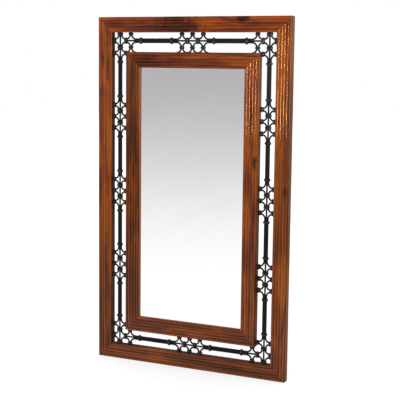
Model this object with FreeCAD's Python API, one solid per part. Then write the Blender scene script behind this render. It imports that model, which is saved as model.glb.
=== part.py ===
import FreeCAD, Part
import math
import os

# A wall mirror: an outer and an inner frame of reeded, mitred hardwood, with a forged iron
# lattice (a jali) let into grooves between them, and a plain mirror in the inner frame.
# Millimetres. +X is to the right, +Z is up, and the front faces -Y. The wall is the plane y = 0.
# The origin is midway between the two keyholes on the back of the outer top rail.

V = FreeCAD.Vector

# Outer frame
WIDTH = 715.0
HEIGHT = 1200.0
OUTER_FACE = 52.0
OUTER_DEPTH = 26.0
OUTER_CORNER_R = 3.0

# Inner frame, its front level with the outer one's
INNER_FACE = 53.0
INNER_DEPTH = 22.0

# Reeds across the face of every member, and the small bevel along its back edges
REEDS = 5
REED_RISE = 2.2
BACK_BEVEL = 1.0

# Iron rod, and the rings bent from it
ROD_D = 5.0
RING_OD = 39.5
ROD_GAP = 0.1

# Room between the side beads and the wood around them
BEAD_TO_OUTER = 1.15
BEAD_TO_INNER_STILE = 2.15
BEAD_TO_INNER_TOP = 11.15
BEAD_TO_INNER_BOTTOM = 0.15

# Grooves that hold the iron
GROOVE_SIDE_GAP = 0.4
GROOVE_END_GAP = 0.3

# Beads and collars: wall round the rods at the crest, lip left at the ends, length along the rods
SIDE_BEAD_WALL = 3.4
SIDE_BEAD_LENGTH = 9.0
SPINE_COLLAR_WALL = 3.0
SPINE_COLLAR_LENGTH = 9.8
BAR_COLLAR_WALL = 3.4
BAR_COLLAR_LENGTH = 8.4
COLLAR_LIP = 1.0

# Lattice layout: clusters between the corners, and the straight run from a hook to a bar collar
STILE_CLUSTERS = 3
RAIL_CLUSTERS = 1
STILE_COLLAR_RUN = 6.6
RAIL_COLLAR_RUN = 15.1

# Mirror glass and the board behind it, in a stepped rebate
GLASS_SETBACK = 9.5
GLASS_T = 4.0
GLASS_REBATE = 10.0
BOARD_T = 3.0
BOARD_REBATE = 20.0
REBATE_GAP = 0.6

# Loose tongues hidden in the mitres
TONGUE_T = 4.0
TONGUE_LENGTH = 32.0
TONGUE_WIDTH = 18.0
TONGUE_COVER = 3.0
TONGUE_GAP = 0.1

# Countersunk wood screws
BOARD_SCREW_D = 3.0
BOARD_SCREW_HEAD_D = 5.6
BOARD_SCREW_LENGTH = 12.0
BOARD_SCREWS_PER_RAIL = 2
BOARD_SCREWS_PER_STILE = 4
HANGER_SCREW_D = 3.5
HANGER_SCREW_HEAD_D = 6.6
HANGER_SCREW_LENGTH = 13.0
SCREW_GAP = 0.05

# Keyhole hangers let flush into the back of the outer top rail
HANGER_SPACING = 400.0
HANGER_DROP = 28.5
HANGER_WIDTH = 46.0
HANGER_HEIGHT = 22.0
HANGER_T = 2.0
HANGER_CORNER_R = 4.0
HANGER_SCREW_SPAN = 32.0
KEYHOLE_ENTRY_R = 5.0
KEYHOLE_SLOT_R = 2.25
KEYHOLE_RISE = 8.0
POCKET_MARGIN = 1.5
POCKET_DEPTH = 7.5
HANGER_GAP = 0.1

# Worked out from the sizes above
ROD_R = ROD_D / 2
RING_R = (RING_OD - ROD_D) / 2
RING_PITCH = RING_OD + ROD_GAP
RING_ROW = RING_R + ROD_D + ROD_GAP
IRON_REACH = RING_ROW + RING_OD / 2
BUNDLE_ROD = RING_ROW - RING_R
MID_HOOK = 1.5 * RING_PITCH
CORNER_HOOK = RING_ROW + RING_PITCH
BEAD_REACH = RING_ROW + SIDE_BEAD_LENGTH / 2
SPINE_TO_OUTER = BEAD_REACH + BEAD_TO_OUTER
SPINE_INSET = OUTER_FACE + SPINE_TO_OUTER
SPINE_TO_INNER = {
    "top": BEAD_REACH + BEAD_TO_INNER_TOP,
    "right": BEAD_REACH + BEAD_TO_INNER_STILE,
    "bottom": BEAD_REACH + BEAD_TO_INNER_BOTTOM,
    "left": BEAD_REACH + BEAD_TO_INNER_STILE,
}
INNER_INSET = {side: SPINE_INSET + reach for side, reach in SPINE_TO_INNER.items()}
GROOVE_WIDTH = ROD_D + 2 * GROOVE_SIDE_GAP

OUTER_FRONT = -OUTER_DEPTH
INNER_FRONT = OUTER_FRONT
IRON_Y = OUTER_FRONT / 2
GLASS_Y = INNER_FRONT + GLASS_SETBACK
BOARD_Y = GLASS_Y + GLASS_T
BOARD_BACK = BOARD_Y + BOARD_T

TOP_Z = HANGER_DROP
CENTRE = V(0, 0, TOP_Z - HEIGHT / 2)
CROSSING_X = WIDTH / 2 - SPINE_INSET
CROSSING_Z = HEIGHT / 2 - SPINE_INSET

INNER_WIDTH = WIDTH - INNER_INSET["left"] - INNER_INSET["right"]
INNER_HEIGHT = HEIGHT - INNER_INSET["top"] - INNER_INSET["bottom"]
INNER_CENTRE = CENTRE + V(0, 0, (INNER_INSET["bottom"] - INNER_INSET["top"]) / 2)
SIGHT_WIDTH = INNER_WIDTH - 2 * INNER_FACE
SIGHT_HEIGHT = INNER_HEIGHT - 2 * INNER_FACE

# A side is built lying along X with its outer edge at z = 0, then turned about Y into its place.
TURN = {"top": 0, "right": 90, "bottom": 180, "left": 270}
MEMBER = {"top": "top_rail", "right": "right_stile", "bottom": "bottom_rail", "left": "left_stile"}
CORNERS = {"top_left": (-1, 1), "top_right": (1, 1), "bottom_right": (1, -1), "bottom_left": (-1, -1)}
AXIS_Y = V(0, 1, 0)


def save(name, solids):
    """Write one node, a single solid or a group of separate solids."""
    shape = solids[0] if len(solids) == 1 else Part.makeCompound(solids)
    shape.exportStep("parts/" + name + ".step")
    print(name, len(solids), "solids", round(sum(s.Volume for s in solids) / 1000, 2), "cm3")


def moved(shape, offset, turn=0):
    """A copy of a shape, turned about the Y axis and then moved."""
    copy = shape.copy()
    copy.rotate(V(0, 0, 0), AXIS_Y, turn)
    copy.translate(offset)
    return copy


def outward(side):
    """The direction from the middle of the frame towards a side."""
    angle = math.radians(TURN[side])
    return V(math.sin(angle), 0, math.cos(angle))


def is_rail(side):
    return side in ("top", "bottom")


def box(x, y, z):
    """A box from three pairs of limits."""
    return Part.makeBox(x[1] - x[0], y[1] - y[0], z[1] - z[0], V(x[0], y[0], z[0]))


def rounded_plate(width, height, y, radius):
    """A plate centred on the origin, rounded at the corners seen from the front."""
    plate = box((-width / 2, width / 2), y, (-height / 2, height / 2))
    corners = [e for e in plate.Edges if abs(e.tangentAt(e.FirstParameter).y) > 0.5]
    return plate.makeFillet(radius, corners)


def reeded_bar(length, face, depth):
    """A straight length of moulding: round reeds in front, square sides, bevelled back edges."""
    pitch = face / REEDS

    def at(across, y):
        return V(-length / 2, y, -across)

    edges = []
    for i in range(REEDS):
        valley = at(i * pitch, REED_RISE)
        crest = at((i + 0.5) * pitch, 0)
        next_valley = at((i + 1) * pitch, REED_RISE)
        edges.append(Part.Arc(valley, crest, next_valley).toShape())
    back = [at(face, REED_RISE), at(face, depth - BACK_BEVEL), at(face - BACK_BEVEL, depth)]
    back += [at(BACK_BEVEL, depth), at(0, depth - BACK_BEVEL), at(0, REED_RISE)]
    edges += [Part.LineSegment(a, b).toShape() for a, b in zip(back, back[1:])]
    return Part.Face(Part.Wire(edges)).extrude(V(length, 0, 0))


def mitred(bar, length, face, depth):
    """Cut both ends of a bar at 45 degrees, towards its inner edge."""
    over = depth
    outer = length / 2 + over
    inner = length / 2 - face - over
    low = -face - over
    plan = [V(-outer, -over, over), V(outer, -over, over), V(inner, -over, low), V(-inner, -over, low)]
    prism = Part.Face(Part.makePolygon(plan + plan[:1])).extrude(V(0, depth + 2 * over, 0))
    return bar.common(prism)


def groove_depth(spine_to_edge):
    """How far a groove runs into an edge so that the iron's rings seat in it."""
    return IRON_REACH - spine_to_edge + GROOVE_END_GAP


def outer_member(side):
    """One outer member, with the iron's groove along its inner edge."""
    length = WIDTH if is_rail(side) else HEIGHT
    half = (HEIGHT if is_rail(side) else WIDTH) / 2
    bar = reeded_bar(length, OUTER_FACE, OUTER_DEPTH)
    iron = IRON_Y - OUTER_FRONT
    groove_y = (iron - GROOVE_WIDTH / 2, iron + GROOVE_WIDTH / 2)
    groove_z = (-OUTER_FACE - ROD_D, groove_depth(SPINE_TO_OUTER) - OUTER_FACE)
    bar = bar.cut(box((-length, length), groove_y, groove_z))
    bar = mitred(bar, length, OUTER_FACE, OUTER_DEPTH)
    bar = moved(bar, CENTRE + outward(side) * half + V(0, OUTER_FRONT, 0), TURN[side])
    outline = rounded_plate(WIDTH, HEIGHT, (2 * OUTER_FRONT, -OUTER_FRONT), OUTER_CORNER_R)
    return bar.common(moved(outline, CENTRE))


def inner_member(side):
    """One inner member, grooved for the iron outside and rebated for glass and board inside."""
    length = INNER_WIDTH if is_rail(side) else INNER_HEIGHT
    half = (INNER_HEIGHT if is_rail(side) else INNER_WIDTH) / 2
    bar = reeded_bar(length, INNER_FACE, INNER_DEPTH)
    iron = IRON_Y - INNER_FRONT
    groove_y = (iron - GROOVE_WIDTH / 2, iron + GROOVE_WIDTH / 2)
    bar = bar.cut(box((-length, length), groove_y, (-groove_depth(SPINE_TO_INNER[side]), ROD_D)))
    steps = [(GLASS_SETBACK, GLASS_REBATE), (GLASS_SETBACK + GLASS_T, BOARD_REBATE)]
    for shoulder, rebate in steps:
        rebate_z = (-INNER_FACE - ROD_D, rebate - INNER_FACE)
        bar = bar.cut(box((-length, length), (shoulder, 2 * INNER_DEPTH), rebate_z))
    bar = mitred(bar, length, INNER_FACE, INNER_DEPTH)
    return moved(bar, INNER_CENTRE + outward(side) * half + V(0, INNER_FRONT, 0), TURN[side])


def tongues(width, height, centre, face, front, gap):
    """The four loose tongues across the mitres of a frame, or their slots if gap is set."""
    size = [TONGUE_LENGTH / 2 + gap, TONGUE_T / 2 + gap, TONGUE_WIDTH / 2 + gap]
    blank = box(*[(-s, s) for s in size])
    pieces = []
    for sx, sz in CORNERS.values():
        x = sx * (width - face) / 2
        z = sz * (height - face) / 2
        pieces.append(moved(blank, centre + V(x, front + TONGUE_T / 2, z), 45 * sx * sz))
    return pieces


def wood_screw(diameter, head_diameter, length, gap):
    """A countersunk screw lying along Y, its head flush with y = 0 and its point towards -Y."""
    r = diameter / 2 + gap
    head_r = head_diameter / 2 + gap
    end = length + gap
    profile = [V(0, 0, 0), V(head_r, 0, 0), V(r, r - head_r, 0), V(r, diameter - end, 0), V(0, -end, 0)]
    return Part.Face(Part.makePolygon(profile + profile[:1])).revolve(V(0, 0, 0), AXIS_Y, 360)


def board_screw_places():
    """Places of the board's screws, in the middle of the step that the board lies on."""
    out = (GLASS_REBATE + BOARD_REBATE) / 2
    places = []
    for side in TURN:
        count = BOARD_SCREWS_PER_RAIL if is_rail(side) else BOARD_SCREWS_PER_STILE
        run = SIGHT_WIDTH if is_rail(side) else SIGHT_HEIGHT
        half = (SIGHT_HEIGHT if is_rail(side) else SIGHT_WIDTH) / 2
        along = outward(side).cross(AXIS_Y)
        for i in range(count):
            step = ((i + 0.5) / count - 0.5) * run
            places.append(INNER_CENTRE + V(0, BOARD_BACK, 0) + outward(side) * (half + out) + along * step)
    return places


def stadium(rise, radius, y):
    """A prism with round ends along Z, from the origin up by rise, between two depths."""
    ends = [Part.makeCylinder(radius, y[1] - y[0], V(0, y[0], z), AXIS_Y) for z in (0, rise)]
    return ends[0].fuse([ends[1], box((-radius, radius), y, (0, rise))]).removeSplitter()


def hanger_screw_places():
    return [V(x, 0, KEYHOLE_RISE / 2) for x in (-HANGER_SCREW_SPAN / 2, HANGER_SCREW_SPAN / 2)]


def keyhole_hanger():
    """A flush steel plate with a keyhole. The origin is the middle of the round entry."""
    plate = rounded_plate(HANGER_WIDTH, HANGER_HEIGHT, (-HANGER_T, 0), HANGER_CORNER_R)
    plate.translate(V(0, 0, KEYHOLE_RISE / 2))
    through = (-2 * HANGER_T, HANGER_T)
    entry = Part.makeCylinder(KEYHOLE_ENTRY_R, 3 * HANGER_T, V(0, through[0], 0), AXIS_Y)
    slot = stadium(KEYHOLE_RISE, KEYHOLE_SLOT_R, through)
    screw = wood_screw(HANGER_SCREW_D, HANGER_SCREW_HEAD_D, HANGER_SCREW_LENGTH, SCREW_GAP)
    return plate.cut([entry, slot] + [moved(screw, p) for p in hanger_screw_places()])


def hanger_recess():
    """What is cut from the rail for one hanger: its seat, the pocket behind it and screw holes."""
    seat_width = HANGER_WIDTH + 2 * HANGER_GAP
    seat_height = HANGER_HEIGHT + 2 * HANGER_GAP
    seat = rounded_plate(seat_width, seat_height, (-HANGER_T, HANGER_T), HANGER_CORNER_R)
    seat.translate(V(0, 0, KEYHOLE_RISE / 2))
    pocket = stadium(KEYHOLE_RISE, KEYHOLE_ENTRY_R + POCKET_MARGIN, (-HANGER_T - POCKET_DEPTH, 0))
    screw = wood_screw(HANGER_SCREW_D, HANGER_SCREW_HEAD_D, HANGER_SCREW_LENGTH, SCREW_GAP)
    return [seat, pocket] + [moved(screw, p) for p in hanger_screw_places()]


def rod(start, end):
    """A straight iron rod."""
    run = end - start
    return Part.makeCylinder(ROD_R, run.Length, start, run)


def ring(radius=ROD_R):
    """An iron ring lying in the lattice, or the passage round one where the radius is larger."""
    return Part.makeTorus(RING_R, radius, V(0, 0, 0), AXIS_Y)


def barrel_band(half_span, wall, length):
    """A collar with a swelling back and front. Its rods run along X, side by side along Z."""
    end_r = ROD_R + COLLAR_LIP
    crest_r = ROD_R + wall
    half = length / 2
    swell = Part.Arc(V(-half, end_r, 0), V(0, crest_r, 0), V(half, end_r, 0)).toShape()
    sides = Part.makePolygon([V(half, end_r, 0), V(half, 0, 0), V(-half, 0, 0), V(-half, end_r, 0)])
    section = Part.Face(Part.Wire([swell] + sides.Edges))
    upper = moved(section.revolve(V(0, 0, 0), V(1, 0, 0), 180), V(0, 0, half_span))
    lower = section.revolve(V(0, 0, 0), V(1, 0, 0), -180)
    lower.translate(V(0, 0, -half_span))
    halves = [section, section.mirror(V(0, 0, 0), AXIS_Y)]
    middle = [moved(s, V(0, 0, -half_span)).extrude(V(0, 0, 2 * half_span)) for s in halves]
    return upper.fuse([lower] + middle).removeSplitter()


def bar_collar():
    """A collar round three straight rods."""
    band = barrel_band(BUNDLE_ROD, BAR_COLLAR_WALL, BAR_COLLAR_LENGTH)
    start = V(-BAR_COLLAR_LENGTH, 0, 0)
    passage = Part.makeCylinder(ROD_R + ROD_GAP, 2 * BAR_COLLAR_LENGTH, start, V(1, 0, 0))
    return band.cut([moved(passage, V(0, 0, z)) for z in (-BUNDLE_ROD, 0, BUNDLE_ROD)])


def spine_collar():
    """A collar round the spine and the two rings that touch it."""
    band = barrel_band(BUNDLE_ROD, SPINE_COLLAR_WALL, SPINE_COLLAR_LENGTH)
    start = V(-SPINE_COLLAR_LENGTH, 0, 0)
    passages = [Part.makeCylinder(ROD_R + ROD_GAP, 2 * SPINE_COLLAR_LENGTH, start, V(1, 0, 0))]
    passages += [moved(ring(ROD_R + ROD_GAP), V(0, 0, z)) for z in (-RING_ROW, RING_ROW)]
    return band.cut(passages)


def side_bead():
    """A bead round two rings that touch, side by side along X."""
    band = moved(barrel_band(RING_PITCH / 2 - RING_R, SIDE_BEAD_WALL, SIDE_BEAD_LENGTH), V(0, 0, 0), 90)
    return band.cut([moved(ring(ROD_R + ROD_GAP), V(x, 0, 0)) for x in (-RING_PITCH / 2, RING_PITCH / 2)])


def hooked_rod(start, end, row):
    """A bundle's outer rod: straight along X between two half-round hooks, on one side of the spine."""
    near = row * BUNDLE_ROD
    middle = row * RING_ROW
    far = row * (RING_ROW + RING_R)
    hook_in = Part.Arc(V(start, 0, far), V(start - RING_R, 0, middle), V(start, 0, near)).toShape()
    run = Part.LineSegment(V(start, 0, near), V(end, 0, near)).toShape()
    hook_out = Part.Arc(V(end, 0, near), V(end + RING_R, 0, middle), V(end, 0, far)).toShape()
    path = Part.Wire([hook_in, run, hook_out])
    section = Part.Wire(Part.makeCircle(ROD_R, V(start, 0, far), V(1, 0, 0)))
    return path.makePipeShell([section], True, True)


def save_band(side, collars):
    """Write one side of the lattice: its bars of hooked rods, clusters of rings and their collars."""
    clusters = RAIL_CLUSTERS if is_rail(side) else STILE_CLUSTERS
    collar_run = RAIL_COLLAR_RUN if is_rail(side) else STILE_COLLAR_RUN
    half = CROSSING_X if is_rail(side) else CROSSING_Z
    out = CROSSING_Z if is_rail(side) else CROSSING_X
    origin = CENTRE + outward(side) * out + V(0, IRON_Y, 0)

    def put(shape, s, n):
        return moved(moved(shape, V(s, 0, n)), origin, TURN[side])

    stations = [(2 * i / (clusters + 1) - 1) * half for i in range(clusters + 2)]
    hooks = [CORNER_HOOK] + [MID_HOOK] * clusters + [CORNER_HOOK]
    bar_collars, spine_collars, side_beads = [], [], []
    for i in range(clusters + 1):
        start = stations[i] + hooks[i]
        end = stations[i + 1] - hooks[i + 1]
        rods = [put(hooked_rod(start, end, row), 0, 0) for row in (1, -1)]
        save("jali_%s_bar_%d_rods" % (side, i + 1), rods)
        set_in = collar_run + BAR_COLLAR_LENGTH / 2
        bar_collars += [put(collars["bar_collar"], s, 0) for s in (start + set_in, end - set_in)]
    for i, middle in enumerate(stations[1:-1]):
        rings = []
        for s in (middle - RING_PITCH / 2, middle + RING_PITCH / 2):
            rings += [put(ring(), s, n) for n in (-RING_ROW, RING_ROW)]
            spine_collars.append(put(collars["spine_collar"], s, 0))
        save("jali_%s_cluster_%d_rings" % (side, i + 1), rings)
        for s in (middle - RING_PITCH, middle, middle + RING_PITCH):
            side_beads += [put(collars["side_bead"], s, n) for n in (-RING_ROW, RING_ROW)]
    save("jali_%s_bar_collars" % side, bar_collars)
    save("jali_%s_spine_collars" % side, spine_collars)
    save("jali_%s_side_beads" % side, side_beads)


def save_spine(side):
    """Write the straight rod down the middle of one side."""
    if not is_rail(side):
        x = CROSSING_X * outward(side).x
        end = CROSSING_Z + IRON_REACH
        save("jali_%s_spine" % side, [rod(CENTRE + V(x, IRON_Y, -end), CENTRE + V(x, IRON_Y, end))])
        return
    z = CROSSING_Z * outward(side).z
    inner = CROSSING_X - RING_ROW + SPINE_COLLAR_LENGTH / 2
    outer = CROSSING_X + RING_ROW - SPINE_COLLAR_LENGTH / 2
    tip = CROSSING_X + IRON_REACH
    runs = [(-tip, -outer), (-inner, inner), (outer, tip)]
    save("jali_%s_spine" % side, [rod(CENTRE + V(a, IRON_Y, z), CENTRE + V(b, IRON_Y, z)) for a, b in runs])


def save_corners(collars):
    """Write the four-ring clusters round the crossings of the spines, with their collars."""
    spine_collars, side_beads = [], []
    next_bead = RING_ROW + RING_PITCH / 2
    for name, (sx, sz) in CORNERS.items():
        crossing = CENTRE + V(sx * CROSSING_X, IRON_Y, sz * CROSSING_Z)
        rings = []
        for row in (-RING_ROW, RING_ROW):
            rings += [moved(ring(), crossing + V(row, 0, other)) for other in (-RING_ROW, RING_ROW)]
            spine_collars.append(moved(collars["spine_collar"], crossing + V(row, 0, 0)))
            spine_collars.append(moved(collars["spine_collar"], crossing + V(0, 0, row), 90))
            side_beads.append(moved(collars["side_bead"], crossing + V(-sx * next_bead, 0, row)))
            side_beads.append(moved(collars["side_bead"], crossing + V(row, 0, -sz * next_bead), 90))
        save("jali_%s_corner_rings" % name, rings)
    save("jali_corner_spine_collars", spine_collars)
    save("jali_corner_side_beads", side_beads)


def save_outer_frame():
    """Write the outer members and tongues, and the hangers let into the top rail."""
    tongue_front = -TONGUE_COVER - TONGUE_T
    frame = (WIDTH, HEIGHT, CENTRE, OUTER_FACE, tongue_front)
    slots = tongues(*frame, TONGUE_GAP)
    hangers = {"left": V(-HANGER_SPACING / 2, 0, 0), "right": V(HANGER_SPACING / 2, 0, 0)}
    recesses = [moved(cut, place) for place in hangers.values() for cut in hanger_recess()]
    for side in TURN:
        member = outer_member(side).cut(slots)
        if side == "top":
            member = member.cut(recesses)
        save("outer_" + MEMBER[side], member.Solids)
    save("outer_mitre_tongues", tongues(*frame, 0))
    screw = wood_screw(HANGER_SCREW_D, HANGER_SCREW_HEAD_D, HANGER_SCREW_LENGTH, 0)
    screws = []
    for name, place in hangers.items():
        save("keyhole_hanger_" + name, [moved(keyhole_hanger(), place)])
        screws += [moved(screw, place + p) for p in hanger_screw_places()]
    save("hanger_screws", screws)


def save_inner_frame():
    """Write the inner members and tongues, the mirror, and the board screwed in behind it."""
    tongue_front = INNER_FRONT + REED_RISE + TONGUE_COVER
    frame = (INNER_WIDTH, INNER_HEIGHT, INNER_CENTRE, INNER_FACE, tongue_front)
    slots = tongues(*frame, TONGUE_GAP)
    places = board_screw_places()
    hole = wood_screw(BOARD_SCREW_D, BOARD_SCREW_HEAD_D, BOARD_SCREW_LENGTH, SCREW_GAP)
    holes = [moved(hole, p) for p in places]
    for side in TURN:
        save("inner_" + MEMBER[side], inner_member(side).cut(slots + holes).Solids)
    save("inner_mitre_tongues", tongues(*frame, 0))

    def pane(lap, y):
        x = SIGHT_WIDTH / 2 + lap - REBATE_GAP
        z = SIGHT_HEIGHT / 2 + lap - REBATE_GAP
        return moved(box((-x, x), y, (-z, z)), INNER_CENTRE)

    save("mirror_glass", [pane(GLASS_REBATE, (GLASS_Y, BOARD_Y))])
    save("backing_board", [pane(BOARD_REBATE, (BOARD_Y, BOARD_BACK)).cut(holes)])
    screw = wood_screw(BOARD_SCREW_D, BOARD_SCREW_HEAD_D, BOARD_SCREW_LENGTH, 0)
    save("backing_screws", [moved(screw, p) for p in places])


os.makedirs("parts", exist_ok=True)
save_outer_frame()
save_inner_frame()
iron_collars = {"bar_collar": bar_collar(), "spine_collar": spine_collar(), "side_bead": side_bead()}
for band in TURN:
    save_spine(band)
    save_band(band, iron_collars)
save_corners(iron_collars)
print("gap", {side: round(INNER_INSET[side] - OUTER_FACE, 2) for side in TURN})
print("inner frame", round(INNER_WIDTH, 2), "by", round(INNER_HEIGHT, 2))
print("sight", round(SIGHT_WIDTH, 2), "by", round(SIGHT_HEIGHT, 2))
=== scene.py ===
# %% [markdown]
# # A tall wall mirror in reeded hardwood and black iron
# The real mirror has two picture frames, one inside the other, with a band of forged iron rings and
# rods (a jali) trapped between them. The solids were drawn in a CAD program. This lesson dresses them:
# each cell loads, models or finishes one part of the mirror, and prints what it made.

# %% Load the measured model
import bmesh
import bpy
import math
from functools import partial
from mathutils import Matrix, Vector


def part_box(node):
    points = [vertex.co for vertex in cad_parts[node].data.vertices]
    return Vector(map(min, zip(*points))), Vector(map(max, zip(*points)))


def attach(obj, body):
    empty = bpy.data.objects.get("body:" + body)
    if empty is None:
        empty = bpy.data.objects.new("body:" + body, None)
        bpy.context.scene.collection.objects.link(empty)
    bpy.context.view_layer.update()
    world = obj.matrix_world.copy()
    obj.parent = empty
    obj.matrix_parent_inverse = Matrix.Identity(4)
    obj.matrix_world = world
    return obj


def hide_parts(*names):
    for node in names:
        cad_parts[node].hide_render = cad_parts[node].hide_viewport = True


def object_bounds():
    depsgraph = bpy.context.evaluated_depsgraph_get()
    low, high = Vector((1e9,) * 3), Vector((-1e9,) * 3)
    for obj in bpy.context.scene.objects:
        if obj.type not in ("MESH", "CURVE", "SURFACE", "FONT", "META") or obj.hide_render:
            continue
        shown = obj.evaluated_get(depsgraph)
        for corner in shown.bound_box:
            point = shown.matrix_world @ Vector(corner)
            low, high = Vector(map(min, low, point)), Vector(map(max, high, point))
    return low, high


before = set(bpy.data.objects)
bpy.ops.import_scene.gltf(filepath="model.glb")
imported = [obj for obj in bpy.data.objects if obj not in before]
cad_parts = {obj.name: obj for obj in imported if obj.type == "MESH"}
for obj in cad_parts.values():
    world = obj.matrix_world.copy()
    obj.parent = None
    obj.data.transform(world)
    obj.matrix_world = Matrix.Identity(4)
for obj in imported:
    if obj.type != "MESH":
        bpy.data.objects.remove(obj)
cad_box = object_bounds()
MM = 0.001
print("CAD nodes:", len(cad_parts))

# %% [markdown]
# ## The camera
# The photograph was taken from the right of the mirror and a little above its middle, with a long lens.
# The place and the turn were worked out from the frame's straight edges, so nothing is aimed by eye.
# Yaw turns the camera to its left, pitch tips it down, and roll is the small lean of a hand-set tripod.

# %% Set the camera
CAMERA_PLACE = Vector((1.59644, -3.23418, -0.11423))
YAW, PITCH, ROLL = 0.45159, -0.13038, 0.01146
LENS_MM, SENSOR_MM = 96.134, 36


def stand(name, data):
    """Make an object of this data and put it in the scene."""
    thing = bpy.data.objects.new(name, data)
    bpy.context.scene.collection.objects.link(thing)
    return thing


ahead = Vector((-math.sin(YAW) * math.cos(PITCH), math.cos(YAW) * math.cos(PITCH), math.sin(PITCH)))
level_right = Vector((math.cos(YAW), math.sin(YAW), 0))
level_up = level_right.cross(ahead)
right = level_right * math.cos(ROLL) + level_up * math.sin(ROLL)
up = level_up * math.cos(ROLL) - level_right * math.sin(ROLL)
lens = bpy.data.cameras.new("photo_camera")
lens.sensor_width = SENSOR_MM
lens.lens = LENS_MM
camera = stand("photo_camera", lens)
camera.matrix_world = Matrix.Translation(CAMERA_PLACE) @ Matrix((right, up, -ahead)).transposed().to_4x4()
bpy.context.scene.camera = camera
print("camera", tuple(round(v, 3) for v in CAMERA_PLACE), "lens", lens.lens)

# %% [markdown]
# ## Wiring nodes from a script
# Materials, the sky and Geometry Nodes are all networks of nodes. The network that is being wired lies on
# the bench. One helper adds a node to it and gives the node's outputs, and each of the others stands for
# one node that is often needed.

# %% Helpers for node networks
class bench:
    """Holds the network that is being wired."""
    tree = None


def fill(node, wires):
    """Wire values into a node's inputs, or set them there if they are plain."""
    for socket, value in wires.items():
        if isinstance(value, bpy.types.NodeSocket):
            bench.tree.links.new(value, node.inputs[socket])
        else:
            node.inputs[socket].default_value = value


def put(kind, wires=None, **options):
    """Add a node, set its options, fill its inputs, and give its outputs."""
    node = bench.tree.nodes.new(kind)
    for option, value in options.items():
        setattr(node, option, value)
    fill(node, wires or {})
    return node.outputs


def sums(operation, a, b=0.0):
    """The result of one Math node."""
    return put("ShaderNodeMath", {0: a, 1: b}, operation=operation)[0]


plus, minus, times = partial(sums, "ADD"), partial(sums, "SUBTRACT"), partial(sums, "MULTIPLY")
over, larger = partial(sums, "DIVIDE"), partial(sums, "MAXIMUM")


def vectors(operation, a, b=None):
    """The result of one Vector Math node."""
    wires = {0: a}
    if b is not None:
        wires["Scale" if operation == "SCALE" else 1] = b
    result = "Value" if operation == "LENGTH" else "Vector"
    return put("ShaderNodeVectorMath", wires, operation=operation)[result]


def point(x=0.0, y=0.0, z=0.0):
    """A vector from three numbers."""
    return put("ShaderNodeCombineXYZ", {0: x, 1: y, 2: z})[0]


def split(vector):
    """The three numbers of a vector, named X, Y and Z."""
    return put("ShaderNodeSeparateXYZ", {0: vector})


def ramp(amount, low, high, start=0.0, end=1.0):
    """Rescale an amount smoothly from one range to another."""
    return put("ShaderNodeMapRange", {0: amount, 1: low, 2: high, 3: start, 4: end},
               interpolation_type="SMOOTHSTEP")[0]


def blend(amount, first, second, way="MIX"):
    """Mix two colours by an amount."""
    return put("ShaderNodeMix", {0: amount, 6: first, 7: second}, data_type="RGBA", blend_type=way)[2]


def noise(place, scale, detail):
    """A smooth random pattern."""
    return put("ShaderNodeTexNoise", {"Vector": place, "Scale": scale, "Detail": detail})["Fac"]


print("node helpers ready")

# %% [markdown]
# ## The studio
# The photograph has a pure white background, and the mirror shows the studio in front of it: a faintly
# lilac grey at eye level, fading to white towards the floor. So the sky answers each kind of ray in its own
# way. Camera rays see white, and plain rays bring a soft even light. The glass sends perfectly sharp rays,
# which see that fade in every direction. The blurred rays of lacquer and metal see it only to the left. To
# the right they see a bright window above eye level, behind the mirror a plain grey, and a dim room
# elsewhere, which keeps the wood's colour deep.

# %% Make the sky
def grey(level):
    """A neutral colour of this level."""
    return (level, level, level, 1)


GREY_WALL, BRIGHT_SWEEP, NEAR_FLOOR = (0.476, 0.457, 0.477, 1), grey(1.04), grey(0.75)
DIM_ROOM, BACK_ROOM, WINDOW = grey(0.08), grey(0.35), grey(1.2)
SOFT_LIGHT, WHITE = grey(1.0), grey(1.0)
WALL_TO_SWEEP, SWEEP_TO_FLOOR, WALL_TO_CEILING = (0.0, -0.215), (-0.38, -0.65), (0.06, 0.28)
LEFT_WALL, WINDOW_SIDE, WINDOW_SILL, BEHIND = (-0.16, -0.34), (0.12, 0.34), (-0.12, -0.02), (0.1, 0.5)
world = bpy.data.worlds.new("studio")
world.use_nodes = True
bench.tree = world.node_tree
bench.tree.nodes.clear()
way = split(put("ShaderNodeTexCoord")["Generated"])
fade = blend(ramp(way["Z"], *WALL_TO_SWEEP), GREY_WALL, BRIGHT_SWEEP)
fade = blend(ramp(way["Z"], *SWEEP_TO_FLOOR), fade, NEAR_FLOOR)
wall = blend(ramp(way["Z"], *WALL_TO_CEILING), fade, DIM_ROOM)
room = blend(ramp(way["X"], *LEFT_WALL), DIM_ROOM, wall)
window = times(ramp(way["X"], *WINDOW_SIDE), ramp(way["Z"], *WINDOW_SILL))
room = blend(window, room, WINDOW)
room = blend(ramp(way["Y"], *BEHIND), room, BACK_ROOM)
ray = put("ShaderNodeLightPath")
room = blend(ray["Is Singular Ray"], room, fade)
mirrored = blend(ray["Is Glossy Ray"], SOFT_LIGHT, room)
seen = blend(ray["Is Camera Ray"], mirrored, WHITE)
put("ShaderNodeOutputWorld", {0: put("ShaderNodeBackground", {"Color": seen, "Strength": 1.0})[0]})
bpy.context.scene.world = world
bpy.context.scene.view_settings.view_transform = "Standard"
print("sky made of", len(bench.tree.nodes), "nodes")

# %% [markdown]
# ## The floor
# The mirror stands on its lower edge on a white sweep. Most rays meet plain white paint, so the floor
# throws light back up at the frames. Camera rays meet a greyer paint with a glow of its own: together they
# reach full white where the floor is lit, and keep the object's shadow soft. The floor doesn't show in
# mirror-like rays, because the sky's fade already stands for it there.

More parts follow.
